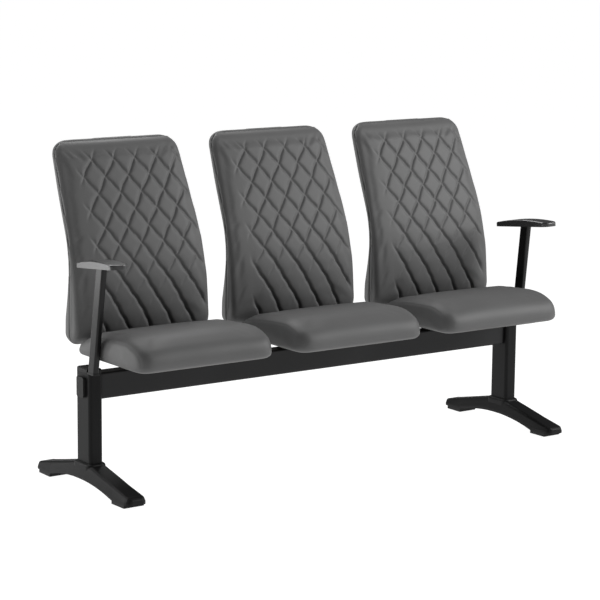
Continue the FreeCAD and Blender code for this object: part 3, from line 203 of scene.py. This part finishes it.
SIDES = ("left", "right")
ENDS = ("front", "rear")
PLACES = {"left": -1, "centre": 0, "right": 1}
frame_paint = powder_coat("frame_paint", 0.006, 0.45, 0.12, 0.13)
beam_paint = powder_coat("beam_paint", 0.015, 0.42, 0.12, 0.20)
arm_paint = powder_coat("arm_paint", 0.004, 0.30, 0.08, 0.24)
paint_nodes(beam_paint, "beam_tube")
for side in SIDES:
    paint_nodes(frame_paint, f"beam_end_plate_{side}", f"column_{side}")
    paint_nodes(arm_paint, f"arm_post_{side}")
for chair in PLACES:
    paint_nodes(frame_paint, f"seat_bracket_{chair}", f"back_strap_{chair}")


# Feet: arched castings with sloped sides, painted black. The paint lies over the slightly
# rougher skin of the casting.
foot_paint = powder_coat("foot_paint", 0.007, 0.48, 0.25, 0.15)
for side in SIDES:
    paint_nodes(foot_paint, f"foot_{side}")


# Bolts, threaded plates and levelling glides: zinc plated steel, dull and a little blue.
# Only the discs of the glides show from a step away, under the shoes.
zinc, _, _, _ = plain_material("zinc_plate", (0.50, 0.51, 0.53), 0.38, Metallic=1.0)
paint_nodes(zinc, "beam_bolts", "foot_bolts", "arm_bolts", "pad_screws")
for side in SIDES:
    paint_nodes(zinc, f"column_base_{side}")
    for end in ENDS:
        paint_nodes(zinc, f"glide_{side}_{end}")
for chair in PLACES:
    paint_nodes(zinc, f"bracket_bolts_{chair}", f"seat_bolts_{chair}", f"back_bolts_{chair}")


# Shoes, caps and end covers: moulded black plastic with a fine matt grain.
# The two small screws of each cover are black too.
PLASTIC_GRAINS = 1400.0
PLASTIC_TINT = 1.03
PLASTIC_RELIEF = 0.0003


def moulded(name, shade, roughness, gloss):
    """Black plastic with the fine grain of its mould."""
    material, tree, shader, place = plain_material(name, (shade, shade, shade * PLASTIC_TINT), roughness,
                                                   Specular_IOR_Level=gloss)
    grain = node(tree, "ShaderNodeTexNoise", None, {"Vector": place, "Scale": PLASTIC_GRAINS, "Detail": 1.0})
    bump = node(tree, "ShaderNodeBump", None,
                {"Height": grain, "Strength": 0.25, "Distance": PLASTIC_RELIEF})
    into(shader, "Normal", bump)
    return material


black_plastic = moulded("black_plastic", 0.008, 0.5, 0.2)
for side in SIDES:
    paint_nodes(black_plastic, f"column_cap_{side}", f"end_cover_{side}")
    for end in ENDS:
        paint_nodes(black_plastic, f"shoe_{side}_{end}")
black_screw, _, _, _ = plain_material("black_screw", (0.012, 0.012, 0.013), 0.35, Metallic=0.6)
paint_nodes(black_screw, "cover_screws")


# Arm pads: moulded in a soft black plastic, smoother than the caps, with a satin gloss along
# the rounded edges.
pad_plastic = moulded("pad_plastic", 0.014, 0.32, 0.8)
for side in SIDES:
    paint_nodes(pad_plastic, f"arm_pad_{side}")


# Seat and back boards: moulded plywood stained nearly black, hidden by the upholstery except
# for the edges and the underside of the seats.
MIX_FACTOR, MIX_A, MIX_B, MIX_RESULT = 0, 6, 7, 2
STAIN_DARK = (0.045, 0.036, 0.028, 1.0)
STAIN_LIGHT = (0.075, 0.060, 0.046, 1.0)
ALONG_GRAIN = (3.0, 40.0, 40.0)
plywood, tree, shader, place = plain_material("plywood", (0.06, 0.05, 0.04), 0.5)
stretched = node(tree, "ShaderNodeMapping", None, {"Vector": place, "Scale": ALONG_GRAIN})
grain = node(tree, "ShaderNodeTexNoise", None, {"Vector": stretched, "Scale": 3.0, "Detail": 4.0})
stain = node(tree, "ShaderNodeMix", {"data_type": "RGBA"},
             {MIX_FACTOR: grain, MIX_A: STAIN_DARK, MIX_B: STAIN_LIGHT}, output=MIX_RESULT)
into(shader, "Base Color", stain)
for chair in PLACES:
    paint_nodes(plywood, f"seat_board_{chair}", f"back_board_{chair}")


# Synthetic leather of seats and backs: mid grey and finely pebbled, with a faint soft gloss
# and a slightly cloudy tone.
LEATHER_GREY = 0.086
LEATHER_ROUGHNESS = 0.55
LEATHER_UNEVEN = 0.05
LEATHER_CLOUDS = 9.0
LEATHER_PEBBLES = 620.0
LEATHER_WRINKLES = 160.0
LEATHER_RELIEF = 0.0006
LEATHER_TONES = (0.93, 1.07)
grey_leather, tree, shader, place = plain_material("grey_leather", (LEATHER_GREY,) * 3, LEATHER_ROUGHNESS,
                                                   Specular_IOR_Level=0.35)
pebbles = node(tree, "ShaderNodeTexVoronoi", {"feature": "SMOOTH_F1"},
               {"Vector": place, "Scale": LEATHER_PEBBLES, "Smoothness": 0.6})
wrinkles = node(tree, "ShaderNodeTexNoise", None, {"Vector": place, "Scale": LEATHER_WRINKLES, "Detail": 3.0})
clouds = node(tree, "ShaderNodeTexNoise", None, {"Vector": place, "Scale": LEATHER_CLOUDS, "Detail": 2.0})
darker, lighter = ((LEATHER_GREY * share,) * 3 + (1.0,) for share in LEATHER_TONES)
tone = node(tree, "ShaderNodeMix", {"data_type": "RGBA"},
            {MIX_FACTOR: clouds, MIX_A: darker, MIX_B: lighter}, output=MIX_RESULT)
into(shader, "Base Color", tone)
into(shader, "Roughness", LEATHER_ROUGHNESS - LEATHER_UNEVEN + clouds * (2 * LEATHER_UNEVEN))
relief = pebbles * 0.6 + wrinkles * 0.8
bump = node(tree, "ShaderNodeBump", None,
            {"Height": relief, "Strength": 0.22, "Distance": LEATHER_RELIEF})
into(shader, "Normal", bump)


# Seat cushions: moulded foam on the board, with a rolled front and leather pulled over it,
# closed by a fine seam where the top and front turn into each side panel.
PITCH = 0.563
BODY = "seating"
SEAT_VOXEL = 0.006
SEAT_SMOOTHING = 10
POCKET_MARGIN = 0.008
SWELL = 0.003
SEAM_TURN = 0.80
SEAM_WIDTH = 0.05
SEAM_DEPTH = 0.0006
UNDERSIDE = -0.6


def copy_of_node(name, new_name):
    """A merged copy of a cushion's solid, as the start of its soft form."""
    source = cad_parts[name]
    piece = bpy.data.objects.new(new_name, source.data.copy())
    bpy.context.scene.collection.objects.link(piece)
    fresh_selection()
    piece.select_set(True)
    bpy.context.view_layer.objects.active = piece
    bpy.ops.object.mode_set(mode="EDIT")
    bpy.ops.mesh.select_all(action="SELECT")
    bpy.ops.mesh.remove_doubles(threshold=0.00002)
    bpy.ops.mesh.normals_make_consistent(inside=False)
    bpy.ops.object.mode_set(mode="OBJECT")
    return piece


def apply_modifier(piece, kind, **settings):
    fresh_selection()
    piece.select_set(True)
    bpy.context.view_layer.objects.active = piece
    modifier = piece.modifiers.new(kind.lower(), kind)
    for key, value in settings.items():
        setattr(modifier, key, value)
    bpy.ops.object.modifier_apply(modifier=modifier.name)


def points_of(piece):
    flat = np.empty(len(piece.data.vertices) * 3)
    piece.data.vertices.foreach_get("co", flat)
    return flat.reshape(-1, 3)


def normals_of(piece):
    flat = np.empty(len(piece.data.vertices) * 3)
    piece.data.vertices.foreach_get("normal", flat)
    return flat.reshape(-1, 3)


def set_points(piece, points):
    piece.data.vertices.foreach_set("co", points.reshape(-1))
    piece.data.update()


PRESSURE = 4.0
FRAMES = 20


def blow_up(piece, held):
    """Inflate the piece as cloth, with the held points fixed, by no more than the swell."""
    before = points_of(piece)
    group = piece.vertex_groups.new(name="held")
    group.add([int(i) for i in np.nonzero(held)[0]], 1.0, "REPLACE")
    cloth = piece.modifiers.new("cloth", "CLOTH")
    cloth.settings.use_pressure = True
    cloth.settings.uniform_pressure_force = PRESSURE
    cloth.settings.effector_weights.gravity = 0.0
    cloth.settings.vertex_group_mass = "held"
    cloth.settings.quality = 4
    cloth.point_cache.frame_start = 1
    cloth.point_cache.frame_end = FRAMES
    scene = bpy.context.scene
    for number in range(1, FRAMES + 1):
        scene.frame_set(number)
    shaped = piece.evaluated_get(bpy.context.evaluated_depsgraph_get()).to_mesh()
    flat = np.empty(len(shaped.vertices) * 3)
    shaped.vertices.foreach_get("co", flat)
    moved = flat.reshape(-1, 3) - before
    piece.modifiers.remove(cloth)
    scene.frame_set(1)
    length = np.linalg.norm(moved, axis=1, keepdims=True)
    moved *= np.minimum(1.0, SWELL / np.maximum(length, 1e-9))
    set_points(piece, before + moved)
    piece.vertex_groups.clear()


def stuffed(piece, voxel, is_held, smoothing):
    """Fill a block out as foam fills its leather, and give it the leather."""
    apply_modifier(piece, "REMESH", mode="VOXEL", voxel_size=voxel)
    blow_up(piece, is_held(points_of(piece)))
    apply_modifier(piece, "SMOOTH", factor=0.5, iterations=smoothing)
    apply_modifier(piece, "SUBSURF", levels=1, render_levels=1)
    piece.data.materials.clear()
    piece.data.materials.append(grey_leather)
    fresh_selection()
    piece.select_set(True)
    bpy.ops.object.shade_smooth()


def near(value, width):
    """A soft peak of height 1 at value 0."""
    return np.exp(-((value / width) ** 2))


seat_half_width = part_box("seat_cushion_centre")[1][0]
pocket_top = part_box("seat_board_centre")[1][2] + POCKET_MARGIN
seat = copy_of_node("seat_cushion_centre", "seat_pad_centre")
stuffed(seat, SEAT_VOXEL, lambda points: points[:, 2] < pocket_top, SEAT_SMOOTHING)
points, normals = points_of(seat), normals_of(seat)
seam = near(np.abs(normals[:, 0]) - SEAM_TURN, SEAM_WIDTH) * (normals[:, 2] > UNDERSIDE)
points = points - normals * (SEAM_DEPTH * seam)[:, None]
points[:, 0] *= min(1.0, seat_half_width / np.abs(points[:, 0]).max())
set_points(seat, points)


def along_beam(piece, name, steps):
    """A copy of a piece, with its own mesh, some places further along the beam."""
    twin = bpy.data.objects.new(name, piece.data.copy())
    bpy.context.scene.collection.objects.link(twin)
    set_points(twin, points_of(twin) + np.array((steps * PITCH, 0.0, 0.0)))
    return twin


def upholstered(piece, cad_node):
    """The finished piece stands for its plain solid, on the seating's own body."""
    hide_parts(cad_node)
    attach(piece, BODY)


for chair, steps in PLACES.items():
    pad = seat if steps == 0 else along_beam(seat, f"seat_pad_{chair}", steps)
    upholstered(pad, f"seat_cushion_{chair}")


# Backs: a quilted front cushion and a plain rear cover, pulled over foam on both faces of
# the back board and closed by a seam down each side, in line with the board's front face.
# The cover swells behind the hips, and both faces lean back from the waist up. Their depths
# are measured from the middle of the beam.
BEAM_Y = -0.00287
BACK_LOW, BACK_HIGH = 0.415, 1.020
CUSHION_LOW, CUSHION_HIGH = 0.419, 1.015
HEIGHTS = (0.415, 0.500, 0.620, 0.800, 1.020)
FRONT = (0.068, 0.076, 0.089, 0.147, 0.240)
REAR = (0.170, 0.174, 0.146, 0.210, 0.302)
HALF_WIDTH = 0.242
TAPER = 0.025
WAIST = 0.600
CROWN = 0.006
CROWN_DEPTH = 0.030
FRONT_UNDER, REAR_UNDER = 0.064, 0.030
TOP_EDGE = 0.029
FRONT_SIDE, REAR_SIDE = 0.018, 0.028
BOTTOM_CORNER, TOP_CORNER = 0.034, 0.048
BOARD_FACE = 0.122
BOARD_BEND = 0.450
BOARD_LEAN = math.radians(23.5)
BOARD_MARGIN = 0.005
SEAM_GAP = 0.0003
LEAST_FOAM, LEAST_DEPTH = 0.001, 0.0002
SIDE_SHARE = 0.6
CUTS = 39
CUSHION_VOXEL, COVER_VOXEL = 0.005, 0.006
BACK_SMOOTHING = 3


def smooth_curve(heights, depths, at):
    """A natural cubic spline through the depths, read at these heights."""
    heights, depths = np.array(heights), np.array(depths)
    step = np.diff(heights)
    slope = np.diff(depths) / step
    count = len(heights)
    matrix = np.eye(count)
    right = np.zeros(count)
    for row in range(1, count - 1):
        matrix[row, row - 1:row + 2] = step[row - 1], 2 * (step[row - 1] + step[row]), step[row]
        right[row] = 6 * (slope[row] - slope[row - 1])
    bend = np.linalg.solve(matrix, right)
    span = np.clip(np.searchsorted(heights, at) - 1, 0, count - 2)
    h = step[span]
    after = (at - heights[span]) / h
    before = 1 - after
    curve = (before**3 - before) * bend[span] + (after**3 - after) * bend[span + 1]
    return before * depths[span] + after * depths[span + 1] + curve * h**2 / 6


def drawn_in(distance, radius):
    """How far a rounded edge is drawn in at this distance from the end of the form."""
    inside = np.clip(radius - distance, 0.0, radius)
    return radius - np.sqrt(radius**2 - inside**2)


def board_face(height):
    """The front face of the back board: upright, then an arc, then straight to the top."""
    bend_height = BOARD_BEND * math.sin(BOARD_LEAN)
    rise = np.clip(height - WAIST, 0.0, bend_height)
    beyond = np.maximum(0.0, height - WAIST - bend_height)
    arc = BOARD_BEND - np.sqrt(BOARD_BEND**2 - rise**2)
    return BOARD_FACE + arc + beyond * math.tan(BOARD_LEAN)


def back_block(name, lowest, highest, is_front):
    """A finely divided cube, moved point by point on to the form of the front cushion or
    of the rear cover."""
    fresh_selection()
    bpy.ops.mesh.primitive_cube_add(size=2.0)
    piece = bpy.context.active_object
    piece.name = name
    bpy.ops.object.mode_set(mode="EDIT")
    bpy.ops.mesh.select_all(action="SELECT")
    bpy.ops.mesh.subdivide(number_cuts=CUTS)
    bpy.ops.object.mode_set(mode="OBJECT")
    a, b, c = points_of(piece).T
    height = lowest + (np.sin(c * math.pi / 2) + 1) / 2 * (highest - lowest)
    below, above = height - BACK_LOW, BACK_HIGH - height
    front = smooth_curve(HEIGHTS, FRONT, height) + drawn_in(below, FRONT_UNDER) + drawn_in(above, TOP_EDGE)
    rear = smooth_curve(HEIGHTS, REAR, height) - drawn_in(below, REAR_UNDER) - drawn_in(above, TOP_EDGE)
    narrowed = TAPER * np.clip((height - WAIST) / (BACK_HIGH - WAIST), 0.0, 1.0)
    half = HALF_WIDTH - narrowed - drawn_in(below, BOTTOM_CORNER) - drawn_in(above, TOP_CORNER)
    board = board_face(height)
    if is_front:
        near_face, far_face = front, np.maximum(front + LEAST_FOAM, board - SEAM_GAP)
    else:
        near_face, far_face = np.maximum(front, board), rear
    depth = far_face - near_face
    crown = CROWN * np.minimum(1.0, depth / CROWN_DEPTH)
    corner = np.minimum(FRONT_SIDE if is_front else REAR_SIDE, depth * SIDE_SHARE)
    across = np.sin(a * math.pi / 2)
    edge = np.clip((np.abs(across) * half - half + corner) / corner, 0.0, 1.0)
    rounding = corner * (1 - np.sqrt(1 - edge**2))
    if is_front:
        near_face = near_face + crown * across**2 + rounding
    else:
        far_face = far_face - crown * across**2 - rounding
    y = near_face + (b + 1) / 2 * np.maximum(far_face - near_face, LEAST_DEPTH)
    set_points(piece, np.column_stack((across * half, y + BEAM_Y, height)))
    return piece


def smooth_step(value, start, end):
    share = np.clip((value - start) / (end - start), 0.0, 1.0)
    return share * share * (3 - 2 * share)


# The quilting: lines of stitching along both diagonals of tall diamonds. Towards the seat the
# lines that fall to the right turn steeper and deeper, and the crossing lines fade away.
# Each cover is sewn by hand, so its lines lie a few millimetres to one side or the other.
DIAMOND_WIDE, DIAMOND_TALL = 0.077, 0.099
FALLING_MIDDLE, RISING_MIDDLE = 0.814, 0.811
LINE_SPACING = 0.0607
LINE_SHIFT = {"left": 0.005, "centre": 0.0, "right": -0.003}
STEEPER_BELOW, STEEPENING = 0.70, 7.0
DEEPER_BELOW, DEEPENING_HEIGHT = 0.76, 0.24
THREAD_WIDTH = 0.0045
THREAD_SHARE = 0.45
FALLING = {"depth": 0.0058, "deeper": 0.0060, "reach": 0.020, "wider": 0.006, "fold": 0.4}
RISING = {"depth": 0.0054, "deeper": -0.0046, "reach": 0.019, "wider": 0.0, "fold": 0.0}
QUILT_LEFT = (-0.176, -0.140)
QUILT_TOP = (0.994, 0.960)
FALLING_RIGHT, RISING_RIGHT = (0.224, 0.198), (0.206, 0.180)
FILLED_LEFT, FILLED_RIGHT = (-0.220, -0.130), (0.215, 0.165)
FRONT_FACING = (0.35, 0.7)
PUFF = 0.0030

# how far the seams sway, and how quickly with height, across and from cover to cover
SLOW_SWAY = (0.0016, 61, 23, 900)
QUICK_SWAY = (0.0010, 143, -47, 0)


def sway(x, z, shift, seam):
    reach, by_height, by_width, by_cover = seam
    return reach * np.sin(z * by_height + x * by_width + shift * by_cover)


def stitched_depth(points, normals, shift):
    """How far each point of the front face is drawn in by the stitching, and how much of the
    filling pushes it out."""
    x, _, z = points.T
    x = x - shift
    x = x + sway(x, z, shift, SLOW_SWAY) + sway(x, z, shift, QUICK_SWAY)
    steeper = STEEPENING * np.maximum(0.0, STEEPER_BELOW - z) ** 2
    falling = x / DIAMOND_WIDE + (z - FALLING_MIDDLE) / DIAMOND_TALL + steeper
    rising = x / DIAMOND_WIDE - (z - RISING_MIDDLE) / DIAMOND_TALL
    lower = smooth_step(DEEPER_BELOW - z, 0.0, DEEPENING_HEIGHT)
    depth = np.zeros(len(x))
    for lines, seam, right in ((falling, FALLING, FALLING_RIGHT), (rising, RISING, RISING_RIGHT)):
        across = lines - np.round(lines)
        away = np.abs(across) * LINE_SPACING
        deepest = seam["depth"] + seam["deeper"] * lower
        reach = (seam["reach"] + seam["wider"] * lower) * (1 + seam["fold"] * lower * np.sign(across))
        hollow = 1 - np.sqrt(1 - np.clip(1 - away / reach, 0.0, 1.0) ** 2)
        profile = (1 - THREAD_SHARE) * hollow + THREAD_SHARE * near(away, THREAD_WIDTH)
        sewn = smooth_step(x, *QUILT_LEFT) * smooth_step(x, *right)
        depth = np.maximum(depth, deepest * profile * sewn)
    quilted = smooth_step(z, *QUILT_TOP) * smooth_step(-normals[:, 1], *FRONT_FACING)
    filled = smooth_step(x, *FILLED_LEFT) * smooth_step(x, *FILLED_RIGHT)
    return depth * quilted, filled * quilted


def touches_board(points, side):
    """Whether points lie on the board's front face, seen from in front (1) or behind (-1)."""
    return side * (points[:, 1] - board_face(points[:, 2]) - BEAM_Y) > -BOARD_MARGIN


cushion = back_block("back_pad_centre", CUSHION_LOW, CUSHION_HIGH, True)
stuffed(cushion, CUSHION_VOXEL, lambda points: touches_board(points, 1), BACK_SMOOTHING)
cover = back_block("back_shell_centre", BACK_LOW, BACK_HIGH, False)
stuffed(cover, COVER_VOXEL, lambda points: touches_board(points, -1), BACK_SMOOTHING)

pads = {chair: along_beam(cushion, f"back_pad_{chair}", steps) for chair, steps in PLACES.items() if steps}
pads["centre"] = cushion
for chair, steps in PLACES.items():
    pad = pads[chair]
    points, normals = points_of(pad), normals_of(pad)
    about_middle = points - np.array((steps * PITCH, 0.0, 0.0))
    depth, inside = stitched_depth(about_middle, normals, LINE_SHIFT[chair])
    set_points(pad, points + normals * (PUFF * inside - depth)[:, None])
    shell = cover if steps == 0 else along_beam(cover, f"back_shell_{chair}", steps)
    upholstered(pad, f"back_cushion_{chair}")
    upholstered(shell, f"back_cover_{chair}")
